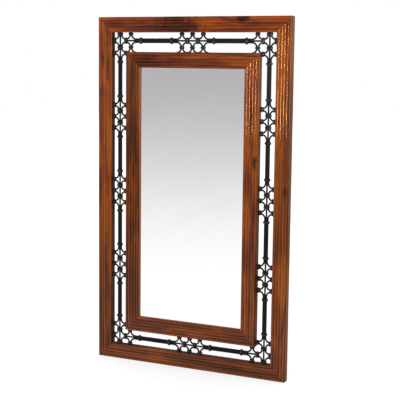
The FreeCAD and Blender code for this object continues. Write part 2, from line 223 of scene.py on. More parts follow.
# %% Make the floor
HALF_FLOOR = 15.0
WHITE_PAINT, SEEN_PAINT, FLOOR_GLOW = grey(0.8), grey(0.51), grey(0.62)
floor_z = cad_box[0][2]
corners = [(x * HALF_FLOOR, y * HALF_FLOOR, floor_z) for x, y in ((-1, -1), (1, -1), (1, 1), (-1, 1))]
floor_mesh = bpy.data.meshes.new("floor")
floor_mesh.from_pydata(corners, [], [(0, 1, 2, 3)])
floor = stand("floor", floor_mesh)
floor.visible_glossy = False
sweep = bpy.data.materials.new("white_sweep")
sweep.use_nodes = True
bench.tree = sweep.node_tree
bench.tree.nodes.clear()
by_camera = put("ShaderNodeLightPath")["Is Camera Ray"]
matt = put("ShaderNodeBsdfDiffuse", {"Color": blend(by_camera, WHITE_PAINT, SEEN_PAINT)})[0]
glow = put("ShaderNodeEmission", {"Color": FLOOR_GLOW, "Strength": by_camera})[0]
put("ShaderNodeOutputMaterial", {0: put("ShaderNodeAddShader", {0: matt, 1: glow})[0]})
floor_mesh.materials.append(sweep)
print("floor at z", round(floor_z, 4))

# %% [markdown]
# ## The lamp
# One soft box stands to the right in front of the mirror's upper part. Its narrow beam lights the upper
# right of the frames most, as in the photograph, and draws a thin bright line along the right flank of
# each lacquered reed there. A later cell keeps it out of the glass.

# %% Set the lamp
LAMP_PLACE, LAMP_AIM = Vector((0.90, -0.94, -0.2)), Vector((0.26, 0.0, -0.11))
LAMP_WATTS, LAMP_WIDE, LAMP_TALL, LAMP_SPREAD = 0.55, 0.08, 0.46, math.radians(40)
lamp = bpy.data.lights.new("soft_box", "AREA")
lamp.shape = "RECTANGLE"
lamp.size = LAMP_WIDE
lamp.size_y = LAMP_TALL
lamp.spread = LAMP_SPREAD
lamp.energy = LAMP_WATTS
soft_box = stand("soft_box", lamp)
soft_box.location = LAMP_PLACE
soft_box.rotation_euler = (LAMP_AIM - LAMP_PLACE).to_track_quat("-Z", "Y").to_euler()
soft_box.visible_camera = False
print("lamp", LAMP_WATTS, "W at", tuple(LAMP_PLACE))

# %% [markdown]
# ## Growing shapes with Geometry Nodes
# A Geometry Nodes tree is a recipe: sizes go in at one end and a mesh comes out of the other. The first
# helper starts a recipe with named sizes, and the next four stand for steps that recipes share. The last
# two run a recipe on a sketch and keep the result as a plain mesh, so that nothing is left to work out
# when the model is exported.

# %% Helpers for recipes
KINDS = {float: "Float", int: "Int", Vector: "Vector", bpy.types.Material: "Material",
         bpy.types.Object: "Object"}


def recipe(name, sizes):
    """Start a Geometry Nodes tree with these named inputs; give the tree and its input sockets."""
    tree = bench.tree = bpy.data.node_groups.new(name, "GeometryNodeTree")
    tree.interface.new_socket(name="Sketch", in_out="INPUT", socket_type="NodeSocketGeometry")
    for size, kind in sizes.items():
        tree.interface.new_socket(name=size, in_out="INPUT", socket_type="NodeSocket" + KINDS[kind])
    tree.interface.new_socket(name="Piece", in_out="OUTPUT", socket_type="NodeSocketGeometry")
    return tree, put("NodeGroupInput")


def geo(kind, wires=None, **options):
    """Add a geometry node and give its result."""
    return put("GeometryNode" + kind, wires, **options)[0]


def moved(geometry, **places):
    """Move every point to a Position or by an Offset."""
    return geo("SetPosition", {0: geometry, **places})


def smoothed(geometry, degrees):
    """Shade smoothly, except over edges that are sharper than this."""
    bend = put("GeometryNodeInputMeshEdgeAngle")["Unsigned Angle"]
    gentle = put("FunctionNodeCompare", {0: bend, 1: math.radians(degrees)}, operation="LESS_THAN")[0]
    return geo("SetShadeSmooth", {0: geometry, "Shade Smooth": gentle}, domain="EDGE")


def serve(geometry, material):
    """End a recipe: make instances real, give the material, and send the piece out."""
    real = geo("RealizeInstances", {0: geometry})
    put("NodeGroupOutput", {0: geo("SetMaterial", {0: real, "Material": material})})


def keep_plain(piece):
    """Replace a piece's sketch and modifiers by the plain mesh that they make."""
    ready = bpy.context.evaluated_depsgraph_get()
    mesh = bpy.data.meshes.new_from_object(piece.evaluated_get(ready), preserve_all_data_layers=True,
                                           depsgraph=ready)
    shape = bmesh.new()
    shape.from_mesh(mesh)
    bmesh.ops.recalc_face_normals(shape, faces=shape.faces)
    shape.to_mesh(mesh)
    shape.free()
    mesh.name = piece.name
    piece.modifiers.clear()
    piece.data = mesh
    return piece


def grow(name, sketch, tree, sizes):
    """Run a recipe on a sketch mesh with these sizes, and keep the plain result."""
    piece = stand(name, sketch)
    modifier = piece.modifiers.new("recipe", "NODES")
    modifier.node_group = tree
    for socket in tree.interface.items_tree:
        if socket.name in sizes:
            modifier[socket.identifier] = sizes[socket.name]
    return keep_plain(piece)


print("recipe helpers ready")

# %% [markdown]
# ## Lacquered hardwood
# The frames are a reddish hardwood with dark and orange streaks along the grain, some knots and clouds of
# dark heartwood, and a clear satin lacquer. A tree's knots push the grain aside, so the last helper here
# both darkens the wood round each knot and bends the place where the grain is looked up.

# %% Helpers for wood and other finishes
RAGGED_SCALE, RAGGED_BY = 60.0, 1.6
FACE_Y, CLOUD_RIM = -0.024, (0.35, 1.15)
SWIRL_REACH, SWIRL = 2.6, 0.5


def new_finish(name):
    """Lay a new finish on the bench; give the material, its shader and the place on the piece."""
    finish = bpy.data.materials.new(name)
    finish.use_nodes = True
    bench.tree = finish.node_tree
    return finish, bench.tree.nodes["Principled BSDF"], put("ShaderNodeTexCoord")["Object"]


def bump(relief, strength, depth):
    """A bump from a relief of this depth, in metres."""
    return put("ShaderNodeBump", {"Height": relief, "Strength": strength, "Distance": depth})[0]


def mapped(place, **change):
    """A place that is moved, turned or scaled first."""
    return put("ShaderNodeMapping", {"Vector": place, **change})[0]


def streaks(place, along, across, detail, wander):
    """Noise drawn out along X, which is the way the grain runs here."""
    return put("ShaderNodeTexNoise", {"Vector": mapped(place, Scale=(along, across, across)), "Scale": 1.0,
                                      "Detail": detail, "Roughness": 0.6, "Distortion": wander})["Fac"]


def heartwood(spot, upright, clouds):
    """Dark clouds and knots, and the grain bent round them. Each cloud is (x, z, along, across, dark)."""
    shade, bent = 0.0, spot
    ragged = times(minus(noise(spot, RAGGED_SCALE, 3.0), 0.5), RAGGED_BY)
    for x, z, along, across, dark in clouds:
        away = vectors("SUBTRACT", spot, (x, FACE_Y, z))
        squeeze = (1 / across, 1 / across, 1 / along) if upright else (1 / along, 1 / across, 1 / across)
        reach = vectors("LENGTH", vectors("MULTIPLY", away, squeeze))
        shade = larger(shade, ramp(plus(reach, ragged), *CLOUD_RIM, dark, 0.0))
        nudge = vectors("SCALE", away, ramp(reach, 0.0, SWIRL_REACH, SWIRL, 0.0))
        bent = vectors("SUBTRACT", bent, nudge)
    return shade, bent


print("wood helpers ready")

# %% [markdown]
# The streaks are noise stretched along the grain, in four sizes. Every member gets its own shift, so that
# the grain breaks at the mitres as it does on the real frame, and its tone drifts from one end to the
# other. The members carry two attributes. Edge marks the sides and the back, where duller sawn grain
# shows. The second is dark wax in the valleys together with painted shade there, painted shade on the side
# that faces the gap and along the right stiles' outer edge, and stain on the back. It also dulls the gloss,
# and below zero it makes the face beside the glass paler. Towards the floor the wood turns greyer, as the
# photograph shows.

# %% The hardwood finish
DARK_WOOD, RED_WOOD = (0.0512, 0.0135, 0.0105, 1), (0.1184, 0.0228, 0.0082, 1)
# The second colour on the next line is the greyer wood towards the floor.
ORANGE_WOOD, GREYED_LOW_WOOD = (0.2432, 0.0550, 0.0078, 1), (0.1088, 0.0525, 0.0371, 1)
SAWN_DARK, SAWN_PALE = (0.0832, 0.0333, 0.0179, 1), (0.2112, 0.0960, 0.0576, 1)
# Next line: a paler colour for the face beside the glass, and dark wax that also serves as painted shade.
PALE_BESIDE_GLASS, WAX_AND_SHADE = (0.3840, 0.1344, 0.0640, 1), (0.0141, 0.0064, 0.0045, 1)
KNOT_WOOD, LACQUER_TINT = (0.0128, 0.0045, 0.0045, 1), (1.0, 0.51, 0.19, 1)
BROAD, FINE = (3.2, 56.0, 4.0, 0.8), (8.0, 230.0, 3.0, 0.3)
PORES, DRIFT = (55.0, 1500.0, 2.0, 0.0), (5.0, 14.0, 2.0, 0.5)
# From the first height down to the second the wood turns greyer, up to the last amount.
LOW_GREYING = (-0.60, -1.15, 0.0, 0.36)
SAWN_SHOWS, DULLING, SATIN, LACQUER = 0.75, 0.5, (0.11, 0.08), 0.6
QUARTER = math.pi / 2


def hardwood(name, upright, shift, tones, ends, clouds):
    """One member's wood. Its tone drifts from the first to the second between its two ends."""
    finish, surface, spot = new_finish(name)
    shade, bent = heartwood(spot, upright, clouds)
    grain = mapped(bent, Location=shift, Rotation=(0, QUARTER, 0) if upright else (0, 0, 0))
    broad, fine, pores, drift = [streaks(grain, *kind) for kind in (BROAD, FINE, PORES, DRIFT)]
    figure = plus(broad, times(minus(drift, 0.5), 0.6))
    body = blend(ramp(figure, 0.32, 0.50), DARK_WOOD, RED_WOOD)
    body = blend(ramp(figure, 0.44, 0.66), body, ORANGE_WOOD)
    body = blend(ramp(fine, 0.50, 0.74, 0.0, 0.30), body, ORANGE_WOOD)
    body = blend(ramp(fine, 0.47, 0.30, 0.0, 0.40), body, DARK_WOOD)
    body = blend(ramp(pores, 0.40, 0.28, 0.0, 0.35), body, DARK_WOOD)
    body = blend(shade, body, KNOT_WOOD)
    place = split(spot)
    tone = ramp(place["Z" if upright else "X"], *ends, tones[0], tones[1])
    body = blend(1.0, body, tone, "MULTIPLY")
    body = blend(1.0, body, (1.0, tones[2], 1.0, 1), "MULTIPLY")
    # Greyer towards the floor, in patches.
    body = blend(times(ramp(place["Z"], *LOW_GREYING), ramp(drift, 0.25, 0.75, 1.0, 0.6)), body, GREYED_LOW_WOOD)
    edge, stain = [put("ShaderNodeAttribute", attribute_name=mark)["Fac"] for mark in ("edge", "stain")]
    sawn = blend(ramp(plus(figure, fine), 0.75, 1.20), SAWN_DARK, SAWN_PALE)
    body = blend(times(edge, SAWN_SHOWS), body, sawn)
    # Below zero the face beside the glass is painted paler.
    body = blend(ramp(stain, 0.0, -1.0), body, PALE_BESIDE_GLASS)
    # Dark wax with painted shade in the valleys, painted shade on the gap side and along the right stiles'
    # outer edge, and stain on the back.
    body = blend(stain, body, WAX_AND_SHADE)
    gloss = plus(ramp(fine, 0.3, 0.7, *SATIN), times(larger(edge, stain), DULLING))
    relief = plus(times(fine, 0.5), pores)
    fill(surface, {"Base Color": body, "Roughness": gloss, "Specular IOR Level": LACQUER,
                   "Specular Tint": LACQUER_TINT, "Normal": bump(relief, 0.10, 0.0004)})
    return finish


print("hardwood ready")

# %% [markdown]
# ## The reeded moulding
# Every member of both frames is the same idea: a section with five round reeds, pulled out to a length and
# cut at 45 degrees at both ends. Because it follows a rule it is a recipe. The section is a wire sketch,
# and Curve to Mesh pulls it along a line whose stations crowd towards the ends. One Set Position then
# leans the ends into mitres, and a second rounds the outer corner. A hair of room is left at each mitre,
# which shows as the fine dark line of a real joint.

# %% The moulding recipe
STATIONS, CROWDING = 61, 2.2
moulding, size = recipe("reeded moulding", {
    "Length": float, "Face": float, "Corner Radius": float, "Joint Room": float, "Reed Rise": float,
    # The side and rim values paint shade into the wood's colour, and paler wood below zero.
    "Outer Edge Stain": float, "Inner Edge Stain": float, "Edge Wax": float, "Turn": Vector,
    "Place": Vector, "Wood": bpy.types.Material})
half_length = times(size["Length"], 0.5)
end_point = point(half_length)
line = geo("CurvePrimitiveLine", {0: vectors("SCALE", end_point, -1.0), 1: end_point})
here = split(geo("InputPosition"))
share = over(sums("ABSOLUTE", here["X"]), half_length)
crowded = minus(1.0, sums("POWER", minus(1.0, share), CROWDING))
new_run = times(times(crowded, half_length), sums("SIGN", here["X"]))
stations = moved(geo("ResampleCurve", {0: line, "Count": STATIONS}), Position=point(new_run))
section = geo("MeshToCurve", {0: size["Sketch"]})
bar = geo("CurveToMesh", {0: stations, 1: section, "Fill Caps": True})
lean = minus(1.0, over(minus(size["Joint Room"], here["Z"]), half_length))
bar = moved(bar, Position=point(times(here["X"], lean), here["Y"], here["Z"]))
print("moulding nodes:", len(moulding.nodes))

# %% [markdown]
# The rounded corner works on two distances: how far a point is from the end of the member, and how far
# from its outer edge. Inside the little corner square, points outside the circle are drawn back onto it.

# %% Round the corner
HARDLY_ANY = 1e-6
radius = size["Corner Radius"]
from_end = minus(half_length, sums("ABSOLUTE", here["X"]))
past_end = larger(minus(radius, from_end), 0.0)
past_edge = larger(plus(radius, here["Z"]), 0.0)
corner_reach = vectors("LENGTH", point(past_end, 0.0, past_edge))
held = over(radius, larger(corner_reach, HARDLY_ANY))
pull = minus(sums("MINIMUM", held, 1.0), 1.0)
pull_x = times(times(past_end, pull), sums("SIGN", here["X"]))
bar = moved(bar, Offset=point(pull_x, 0.0, times(past_edge, pull)))
print("with the corner:", len(moulding.nodes))

# %% [markdown]
# The recipe knows the depth and the place across of every point, so it also marks where wax and painted
# shade go and where the wood is sawn. The valleys get a little wax with painted shade, and the sides and
# the back a stain of their own, which on the outer frame's side facing the gap is painted shade and beside
# the glass is paler wood. A member can also get painted shade along its outer edge, where the real
# moulding falls away more steeply.

# %% Mark the wax and the sawn sides
# The valleys get dark wax together with painted shade.
BACK_STAIN, VALLEY_WAX_AND_SHADE = 0.30, 0.34
EDGE_REACH, AT_EDGE, BELOW_REEDS, SHARP_ON_WOOD = 6 * MM, 0.0006, 1.05, 28
sunk = over(here["Y"], size["Reed Rise"])
below = sums("GREATER_THAN", sunk, BELOW_REEDS)
at_outer = sums("GREATER_THAN", here["Z"], -AT_EDGE)
at_inner = sums("LESS_THAN", plus(size["Face"], here["Z"]), AT_EDGE)
between = minus(minus(1.0, at_outer), at_inner)
# Painted shade on the outer frame's gap side, paler wood beside the glass, and stain on the back.
side_stain_and_shade = plus(times(at_outer, size["Outer Edge Stain"]), times(at_inner, size["Inner Edge Stain"]))
side_stain_and_shade = plus(side_stain_and_shade, times(between, BACK_STAIN))
# Painted shade along the outer edge of a member, where the moulding falls away steeply.
rim = ramp(here["Z"], -EDGE_REACH, 0.0, 0.0, size["Edge Wax"])
# The larger of the valleys' wax with painted shade and the rim's painted shade.
face = larger(times(ramp(sunk, 0.5, 1.0, 0.0, VALLEY_WAX_AND_SHADE), between), rim)
stain = put("ShaderNodeMix", {"Factor": below, 2: face, 3: side_stain_and_shade})[0]
for mark, value in (("stain", stain), ("edge", below)):
    bar = geo("StoreNamedAttribute", {0: bar, "Name": mark, "Value": value}, data_type="FLOAT",
              domain="POINT")
bar = smoothed(bar, SHARP_ON_WOOD)
serve(geo("Transform", {0: bar, "Translation": size["Place"], "Rotation": size["Turn"]}), size["Wood"])
print("moulding recipe finished:", len(moulding.nodes), "nodes")

# %% [markdown]
# ## The section of a member
# In the sketch, x is minus the depth from the front and y is the distance from the member's outer edge.
# The outer members have a groove for the iron in their inner edge. The inner members have it in their
# outer edge, and a stepped rebate at the back for the glass and its board.

# %% Draw the sections
OUTER_FACE, INNER_FACE = 52 * MM, 53 * MM
OUTER_DEPTH, INNER_DEPTH = 26 * MM, 22 * MM
REEDS, REED_RISE, REED_STEPS, BACK_BEVEL = 5, 2.2 * MM, 12, 1 * MM
GROOVE_FRONT, GROOVE_BACK, OUTER_GROOVE = 10.1 * MM, 15.9 * MM, 14.4 * MM
INNER_GROOVES = {"top": 4.4 * MM, "right": 13.4 * MM, "bottom": 15.4 * MM, "left": 13.4 * MM}
GLASS_SETBACK, GLASS_THICK = 9.5 * MM, 4 * MM
GLASS_LAP, BOARD_LAP = 10 * MM, 20 * MM
LACQUER_TO = 2.7 * MM


def reeds(face):
    """Points (across, depth) over the five reeds, from the outer edge to the inner edge."""
    pitch = face / REEDS
    bow = (pitch * pitch / 4 + REED_RISE * REED_RISE) / (2 * REED_RISE)
    sweep_angle = math.asin(pitch / 2 / bow)
    points = []
    for reed in range(REEDS):
        for step in range(REED_STEPS + (reed == REEDS - 1)):
            angle = (step / (REED_STEPS / 2) - 1) * sweep_angle
            points.append(((reed + 0.5) * pitch + bow * math.sin(angle), bow - bow * math.cos(angle)))
    return points


def outer_section(groove):
    """Points (across, depth) round an outer member."""
    face, back = OUTER_FACE, OUTER_DEPTH
    points = [(face, LACQUER_TO), (face, GROOVE_FRONT), (face - groove, GROOVE_FRONT)]
    points += [(face - groove, GROOVE_BACK), (face, GROOVE_BACK)]
    points += [(face, back - BACK_BEVEL), (face - BACK_BEVEL, back), (BACK_BEVEL, back)]
    return reeds(face) + points + [(0, back - BACK_BEVEL), (0, LACQUER_TO)]


def inner_section(groove):
    """Points (across, depth) round an inner member."""
    face, back, glass_back = INNER_FACE, INNER_DEPTH, GLASS_SETBACK + GLASS_THICK
    points = [(face, LACQUER_TO), (face, GLASS_SETBACK), (face - GLASS_LAP, GLASS_SETBACK)]
    points += [(face - GLASS_LAP, glass_back), (face - BOARD_LAP, glass_back), (face - BOARD_LAP, back)]
    points += [(BACK_BEVEL, back), (0, back - BACK_BEVEL), (0, GROOVE_BACK), (groove, GROOVE_BACK)]
    return reeds(face) + points + [(groove, GROOVE_FRONT), (0, GROOVE_FRONT), (0, LACQUER_TO)]


def section_sketch(name, points):
    """A closed wire from the points of a section."""
    wire = bpy.data.meshes.new(name)
    count = len(points)
    wire.from_pydata([(-depth, across, 0) for across, depth in points],
                     [(i, (i + 1) % count) for i in range(count)], [])
    return wire


print("points in an outer section:", len(outer_section(OUTER_GROOVE)))

# %% [markdown]
# ## Settling a piece
# Each finished piece rides on the model's one body and takes the place of its CAD node. The helper
# prints how far the piece's box is from the node's, so a slip shows at once.

# %% Helper to settle a piece
def span(points):
    """The lowest and the highest x, y and z of some points."""
    return [pick(p[i] for p in points) for pick in (min, max) for i in range(3)]


def settle(piece, slot, *nodes):
    """Put a piece in the place of its CAD nodes, and print how well their boxes agree."""
    cad_corners = [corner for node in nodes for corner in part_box(node)]
    off = max(abs(a - b) for a, b in zip(span(piece.bound_box), span(cad_corners)))
    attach(piece, "root")
    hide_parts(*nodes)
    print(piece.name, len(piece.data.polygons), "faces, box within", round(off / MM, 2), "mm of its node")
    return piece


print("ready to settle pieces")

# %% [markdown]
# ## The two frames
# Four members make each frame. A side is grown lying along X with its outer edge at z = 0, then turned
# about Y into place, just as the CAD program did it. The knots are where the photograph shows them. Each
# member has its own tones: at its first end, at its second end, and of its green. Any shift of the grain
# will do, as long as no two members share it.

# %% Grow the members
WIDTH, HEIGHT, MIDDLE = 715 * MM, 1200 * MM, Vector((0, 0, -571.5 * MM))
INNER_WIDTH, INNER_HEIGHT, INNER_MIDDLE = 497 * MM, 975 * MM, Vector((0, 0, -577 * MM))
FRONT = Vector((0, -26 * MM, 0))
# The last value paints shade along the outer edge of each right stile.
CORNER_RADIUS, JOINT_ROOM, RIM_SHADE = 3 * MM, 0.1 * MM, 0.75
SIDES = {"top": 0, "right": 90, "bottom": 180, "left": 270}
UPRIGHT = ("left", "right")
CLOUDS = {
    "outer_top": [(-0.050, 0.002, 0.105, 0.045, 0.85), (-0.064, 0.014, 0.022, 0.010, 0.90),
                  (-0.026, -0.002, 0.045, 0.006, 0.90), (0.184, 0.021, 0.038, 0.015, 0.97)],
    "outer_right": [(0.3455, -0.535, 0.024, 0.011, 0.75), (0.331, -0.640, 0.200, 0.050, 0.20)],
    "outer_left": [(-0.341, -0.116, 0.035, 0.011, 0.80), (-0.320, -0.150, 0.045, 0.007, 0.65),
                   (-0.311, -0.165, 0.200, 0.009, 0.45)],
    "outer_bottom": [(0.175, -1.149, 0.050, 0.009, 0.60), (0.010, -1.146, 0.120, 0.030, 0.30)],
    "inner_top": [(-0.160, -0.119, 0.055, 0.018, 0.60)],
    "inner_bottom": [(-0.035, -1.0505, 0.040, 0.009, 0.55)],
    "inner_right": [(0.224, -0.295, 0.050, 0.008, 0.90), (0.2365, -0.445, 0.020, 0.012, 0.85)],
    "inner_left": [(-0.217, -0.493, 0.030, 0.008, 0.70)]}
TONES = {"outer_top": (1.70, 1.00, 0.82), "outer_right": (1.75, 1.0, 1.06),
         "outer_bottom": (1.75, 1.1, 0.97), "outer_left": (0.98, 1.95, 1.02),
         "inner_top": (1.15, 1.24, 0.95), "inner_right": (1.65, 1.15, 1.0),
         "inner_bottom": (1.95, 1.05, 0.95), "inner_left": (0.95, 0.85, 0.93)}
# Painted shade on the outer frame's side that faces the gap; below zero the inner frame's face beside the
# glass is paler.
SIDE_SHADE = {"outer": (0.0, 0.6), "inner": (0.0, -0.95)}


def grow_member(ring, side, length, across, middle, section):
    """One member of a frame, in its own wood."""
    key, turn = ring + "_" + side, SIDES[side]
    angle = math.radians(turn)
    out = Vector((math.sin(angle), 0, math.cos(angle)))
    shift = Vector((0.37 * len(key) + turn * 0.013, 0.21 * turn / 90 + 0.05 * len(ring), 0.11 * len(side)))
    centre = middle.z if side in UPRIGHT else middle.x
    ends = (centre - length / 2, centre + length / 2)
    wood = hardwood("lacquered_" + key, side in UPRIGHT, shift, TONES[key], ends, CLOUDS[key])
    return grow("reeded_" + key, section_sketch(key + "_section", section), moulding, {
        "Length": length, "Face": OUTER_FACE if ring == "outer" else INNER_FACE,
        "Corner Radius": CORNER_RADIUS if ring == "outer" else 0.0, "Joint Room": JOINT_ROOM,
        # Side values: painted shade on the gap side and paler wood beside the glass; rim value: painted
        # shade on a right stile's outer edge.
        "Reed Rise": REED_RISE, "Outer Edge Stain": SIDE_SHADE[ring][0],
        "Inner Edge Stain": SIDE_SHADE[ring][1], "Edge Wax": RIM_SHADE if side == "right" else 0.0,
        "Turn": Vector((0, angle, 0)), "Place": middle + out * across / 2 + FRONT, "Wood": wood})


members = {}
for side in SIDES:
    long, wide = (HEIGHT, WIDTH) if side in UPRIGHT else (WIDTH, HEIGHT)
    members["outer_" + side] = grow_member("outer", side, long, wide, MIDDLE, outer_section(OUTER_GROOVE))
    long, wide = (INNER_HEIGHT, INNER_WIDTH) if side in UPRIGHT else (INNER_WIDTH, INNER_HEIGHT)
    members["inner_" + side] = grow_member("inner", side, long, wide, INNER_MIDDLE,
                                           inner_section(INNER_GROOVES[side]))
print("members grown:", len(members))

# %% [markdown]
# ## Seats for the hangers
# Two flush keyhole plates hold the mirror on the wall. Each lies in a shallow seat in the back of the top
# rail, with a deeper pocket behind the keyhole for the head of the wall screw. A joiner would rout them,
# and a Boolean modifier does the same: it takes the shape of a cutter away from the rail.

# %% Shape the cutters
HANGER_X, HANGER_Z = (-200 * MM, 200 * MM), 4 * MM
SEAT, SEAT_FLOOR = (23.1 * MM, 11.1 * MM, 4 * MM), -2 * MM
POCKET, POCKET_FLOOR = (6.5 * MM, 10.5 * MM, 6.5 * MM), -9.5 * MM
PAST_BACK, CORNER_STEPS = 3 * MM, 8
FOUR_WAYS = ((1, 1), (-1, 1), (-1, -1), (1, -1))


def stand_shape(shape, name):
    """Put a worked shape in the scene, with its faces outwards."""
    bmesh.ops.recalc_face_normals(shape, faces=shape.faces)
    mesh = bpy.data.meshes.new(name)
    shape.to_mesh(mesh)
    shape.free()
    return stand(name, mesh)


def round_rectangle(x, half_width, half_height, radius):
    """Outline of a rectangle with round corners. Where the corners meet it becomes a slot."""
    outline = []
    for quarter, (sx, sz) in enumerate(FOUR_WAYS):
        for step in range(CORNER_STEPS + 1):
            angle = (quarter + step / CORNER_STEPS) * math.pi / 2
            outline.append((x + sx * (half_width - radius) + radius * math.cos(angle),
                            HANGER_Z + sz * (half_height - radius) + radius * math.sin(angle)))
    return outline


def cutter(name, sizes, near):
    """Closed plates at both hangers, from a depth in the wood to past its back."""
    shape = bmesh.new()
    for x in HANGER_X:
        plate = shape.faces.new([shape.verts.new((px, near, pz)) for px, pz in round_rectangle(x, *sizes)])
        for vert in bmesh.ops.extrude_face_region(shape, geom=[plate])["geom"]:
            if isinstance(vert, bmesh.types.BMVert):
                vert.co.y = PAST_BACK
    bmesh.ops.remove_doubles(shape, verts=shape.verts, dist=1e-7)
    return stand_shape(shape, name)


cutters = [cutter("seats", SEAT, SEAT_FLOOR), cutter("pockets", POCKET, POCKET_FLOOR)]
print("cutters:", [shape.name for shape in cutters])

# %% [markdown]
# The new faces in the seats are bare sawn wood, so they get the same two marks as the rest of the back.
# Then all eight members take the places of their CAD nodes.

# %% Cut the seats, and settle the members
BY_SEAT, SEAT_DEEPEST, SEAT_LOW, SEAT_HIGH = 24 * MM, -10 * MM, -8 * MM, 16 * MM
NODE_OF = {"top": "top_rail", "right": "right_stile", "bottom": "bottom_rail", "left": "left_stile"}
top_rail = members["outer_top"]
for shape in cutters:
    cut = top_rail.modifiers.new("cut", "BOOLEAN")
    cut.object = shape
    cut.solver = "FAST"
    keep_plain(top_rail)
    bpy.data.objects.remove(shape)
for mark, value in (("stain", BACK_STAIN), ("edge", 1.0)):
    for vert in top_rail.data.vertices:
        beside = min(abs(vert.co.x - x) for x in HANGER_X)
        if beside < BY_SEAT and vert.co.y > SEAT_DEEPEST and SEAT_LOW < vert.co.z < SEAT_HIGH:
            top_rail.data.attributes[mark].data[vert.index].value = value
for key, member in members.items():
    ring, side = key.split("_")
    settle(member, "reeded_hardwood", ring + "_" + NODE_OF[side])

# %% [markdown]
# ## Black iron
# The band is forged from thin round bar, blackened and waxed. Hammering leaves soft dents, and the black is
# a little brown where it is thin. The rods stay dull, but the collars were filed after they were set, so
# they catch the light. One finish serves both, and its values say which it is.

# %% The iron finish
SOOT, BROWN_SOOT = (0.0110, 0.0110, 0.0115, 1), (0.0160, 0.0148, 0.0135, 1)
FILED, FILED_BROWN = (0.042, 0.042, 0.043, 1), (0.068, 0.066, 0.063, 1)
FORGE_SCALE, IRON_LEVEL = (0.0130, 0.0122, 0.0115, 1), 0.2


def black_iron(name, tints, metal, dull, bright):
    """Blackened iron between two tints, whose roughness wanders between two values."""
    finish, surface, spot = new_finish(name)
    blotch, scale = noise(spot, 70.0, 4.0), noise(spot, 900.0, 3.0)
    tint = blend(ramp(blotch, 0.40, 0.65), *tints)
    tint = blend(ramp(scale, 0.60, 0.76, 0.0, 0.3), tint, FORGE_SCALE)
    fill(surface, {"Base Color": tint, "Roughness": ramp(blotch, 0.35, 0.65, bright, dull),
                   "Metallic": metal, "Specular IOR Level": IRON_LEVEL,
                   "Normal": bump(plus(blotch, times(scale, 0.35)), 0.10, 0.0004)})
    return finish


iron = black_iron("blackened_iron", (SOOT, BROWN_SOOT), 0.0, 0.72, 0.56)
filed_iron = black_iron("filed_iron", (FILED, FILED_BROWN), 0.72, 0.36, 0.24)
print("iron ready:", iron.name, "and", filed_iron.name)

# %% [markdown]
# ## Forged rods
# Rings, hooked rods and straight spines are all round bar bent along a path, so one recipe makes them all.
# The sketch is only corner points. Fillet Curve bends the corners to the smith's radius, Resample Curve
# spaces the stations evenly, Curve to Mesh gives the bar its round section, and a little noise pushes the
# skin inwards for the hammer marks. A ring is a square whose four bends meet.

# %% The forged rod recipe
BEND_STEPS, ROD_SIDES, MARKS_SCALE, SHARP_ON_IRON = 14, 12, 170.0, 50
forging, size = recipe("forged rod", {"Rod Radius": float, "Bend Radius": float, "Step": float,
                                      "Hammering": float, "Iron": bpy.types.Material})
path = geo("FilletCurve", {0: geo("MeshToCurve", {0: size["Sketch"]}), "Count": BEND_STEPS,
                           "Radius": size["Bend Radius"], "Limit Radius": True}, mode="POLY")
path = geo("ResampleCurve", {0: path, "Length": size["Step"]}, mode="LENGTH")
round_bar = geo("CurvePrimitiveCircle", {"Resolution": ROD_SIDES, "Radius": size["Rod Radius"]})
skin = geo("CurveToMesh", {0: path, 1: round_bar, "Fill Caps": True})
depth = times(times(noise(geo("InputPosition"), MARKS_SCALE, 1.0), size["Hammering"]), -1.0)
skin = moved(skin, Offset=vectors("SCALE", geo("InputNormal"), depth))
serve(smoothed(skin, SHARP_ON_IRON), size["Iron"])
print("rod recipe nodes:", len(forging.nodes))

# %% [markdown]
# ## Laying out the band
# Each side of the band is drawn flat: along the side, and outwards from its spine. One helper turns such a
# point into a place on the mirror. Stations are the middles of the four-ring clusters, corners included,
# and everything else follows from the rod's size, the ring's size and a hair of room.

# %% Places along the band
ROD, RING, ROOM = 2.5 * MM, 17.25 * MM, 0.1 * MM
RING_ROW = RING + 2 * ROD + ROOM
RING_STEP = 2 * RING + 2 * ROD + ROOM
BESIDE = RING_ROW - RING
REACH = RING_ROW + RING + ROD
IRON_DEPTH = -13 * MM
CROSS_X, CROSS_Z = 277.5 * MM, 520 * MM
CLUSTERS = {"top": 1, "right": 3, "bottom": 1, "left": 3}
CORNERS = {"top_left": (-1, 1), "top_right": (1, 1), "bottom_right": (1, -1), "bottom_left": (-1, -1)}
BOTH = (-1, 1)


def on_band(side, along, out):
    """A place on the mirror from a place on one side's flat drawing."""
    angle = math.radians(SIDES[side])
    reach = out + (CROSS_X if side in UPRIGHT else CROSS_Z)
    return MIDDLE + Vector((along * math.cos(angle) + reach * math.sin(angle), IRON_DEPTH,
                            reach * math.cos(angle) - along * math.sin(angle)))


def crossing(sx, sz):
    """The place at a corner where two spines cross."""
    return MIDDLE + Vector((sx * CROSS_X, IRON_DEPTH, sz * CROSS_Z))


def stations_of(side):
    """Middles of the clusters along a side, from corner to corner."""
    half = CROSS_Z if side in UPRIGHT else CROSS_X
    count = CLUSTERS[side] + 1
    return [(2 * i / count - 1) * half for i in range(count + 1)]


def bars_of(side):
    """Start and end of each bar's straight run."""
    marks_at = stations_of(side)
    hooks = [RING_ROW + RING_STEP] + [1.5 * RING_STEP] * CLUSTERS[side] + [RING_ROW + RING_STEP]
    return [(marks_at[i] + hooks[i], marks_at[i + 1] - hooks[i + 1]) for i in range(len(hooks) - 1)]


print("left side stations, mm:", [round(s / MM, 1) for s in stations_of("left")])
print("left side bars, mm:", [(round(a / MM, 1), round(b / MM, 1)) for a, b in bars_of("left")])

